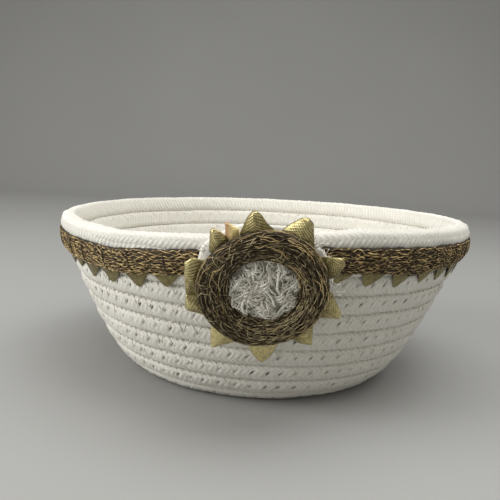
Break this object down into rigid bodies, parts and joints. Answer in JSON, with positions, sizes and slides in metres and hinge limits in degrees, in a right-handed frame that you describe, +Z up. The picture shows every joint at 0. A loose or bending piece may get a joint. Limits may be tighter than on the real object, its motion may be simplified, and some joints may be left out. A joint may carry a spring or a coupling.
{
  "type": "coiled rope bowl",
  "caption": "Flared round bowl coiled and sewn from white cotton rope, with a net ribbon under the rim, a hanging pointed gold trim and a sewn flower on the front.",
  "frame": {"origin": "On the bowl's upright axis at the underside of its base, where the rope starts, so the bowl stands on z = 0.", "axes": "Z is up along the bowl's axis. The flower is on the front and faces -Y, so +X is to its right as a viewer faces it."},
  "size_m": [0.1849, 0.1957, 0.0788],
  "materials": {
    "cotton": "braided matte",
    "net": "crinkled metallic net",
    "gold_trim": "metallic woven ribbon",
    "copper_trim": "metallic woven ribbon"
  },
  "bodies": {
    "root": {"rope_coil": "cotton", "band_ribbon": "net", "trim_tape": "gold_trim", "trim_point_01": "gold_trim", "trim_point_02": "gold_trim", "trim_point_03": "gold_trim", "trim_point_04": "gold_trim", "trim_point_05": "gold_trim", "trim_point_06": "gold_trim", "trim_point_07": "gold_trim", "trim_point_08": "gold_trim", "trim_point_09": "gold_trim", "trim_point_10": "gold_trim", "trim_point_11": "gold_trim", "trim_point_12": "gold_trim", "trim_point_13": "gold_trim", "trim_point_14": "gold_trim", "trim_point_15": "gold_trim", "trim_point_16": "gold_trim", "trim_point_17": "gold_trim", "trim_point_18": "gold_trim", "trim_point_19": "gold_trim", "trim_point_20": "gold_trim", "trim_point_21": "gold_trim", "trim_point_22": "gold_trim", "trim_point_23": "gold_trim", "trim_point_24": "gold_trim", "trim_point_25": "gold_trim", "trim_point_26": "gold_trim", "trim_point_27": "gold_trim", "trim_point_28": "gold_trim", "trim_point_29": "gold_trim", "trim_point_30": "gold_trim", "trim_point_31": "gold_trim", "trim_point_32": "gold_trim", "trim_point_33": "gold_trim", "trim_point_34": "gold_trim", "trim_point_35": "gold_trim", "trim_point_36": "gold_trim", "trim_point_37": "gold_trim", "trim_point_38": "gold_trim", "flower_backing": "cotton", "flower_petal_01": "gold_trim", "flower_petal_02": "gold_trim", "flower_petal_03": "gold_trim", "flower_petal_04": "gold_trim", "flower_petal_05": "gold_trim", "flower_petal_06": "gold_trim", "flower_petal_07": "gold_trim", "flower_petal_08": "gold_trim", "flower_petal_09": "gold_trim", "flower_petal_10": "gold_trim", "flower_petal_end": "copper_trim", "flower_ring": "net", "flower_centre": "cotton"}
  },
  "joints": []
}
